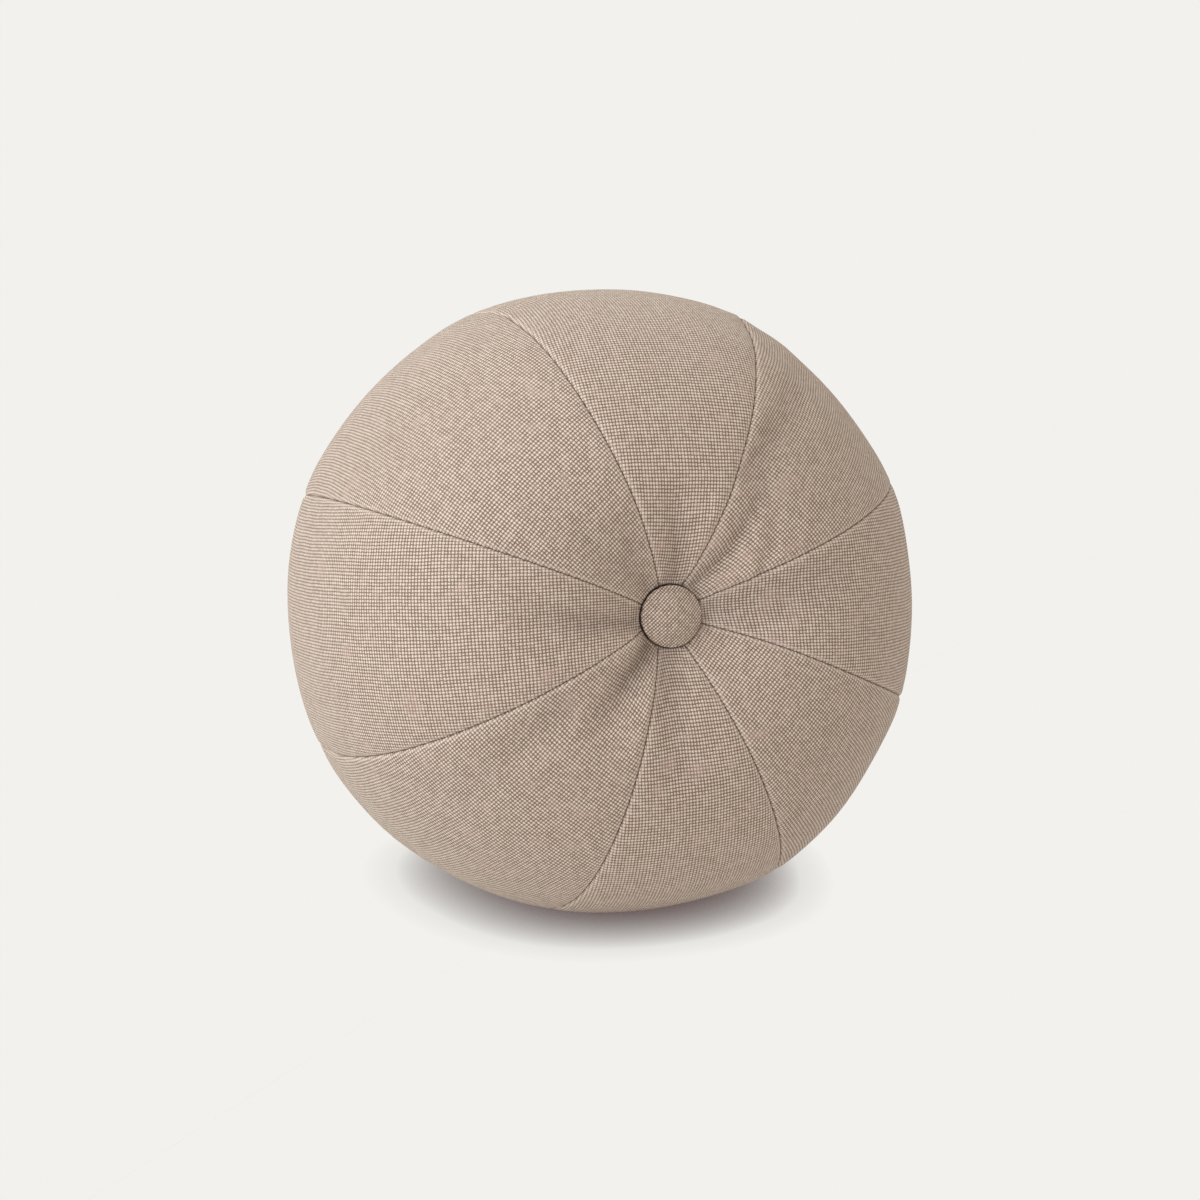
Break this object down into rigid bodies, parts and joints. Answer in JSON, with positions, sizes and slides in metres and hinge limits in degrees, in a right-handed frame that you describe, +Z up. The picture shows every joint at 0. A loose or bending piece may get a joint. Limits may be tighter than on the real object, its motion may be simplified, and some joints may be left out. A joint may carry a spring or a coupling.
{
  "type": "ball cushion",
  "caption": "Ball-shaped filled cushion of woven cloth, pieced from tapering gores and drawn in front and back by a cloth-covered button; rests on a small flat spot.",
  "frame": {"origin": "centre of the flat spot that the ball rests on, straight below its middle", "axes": "+Z up, the front button faces -Y and a little upwards, +X to the right as seen from the front"},
  "size_m": [0.298, 0.2758, 0.2923],
  "materials": {
    "cushion_cloth": "matte beige plain weave of slubby yarn",
    "button_cloth": "matte beige plain weave, cut on the bias over a button mould"
  },
  "bodies": {
    "root": {"cushion": "cushion_cloth", "button_front": "button_cloth", "button_back": "button_cloth"}
  },
  "joints": []
}
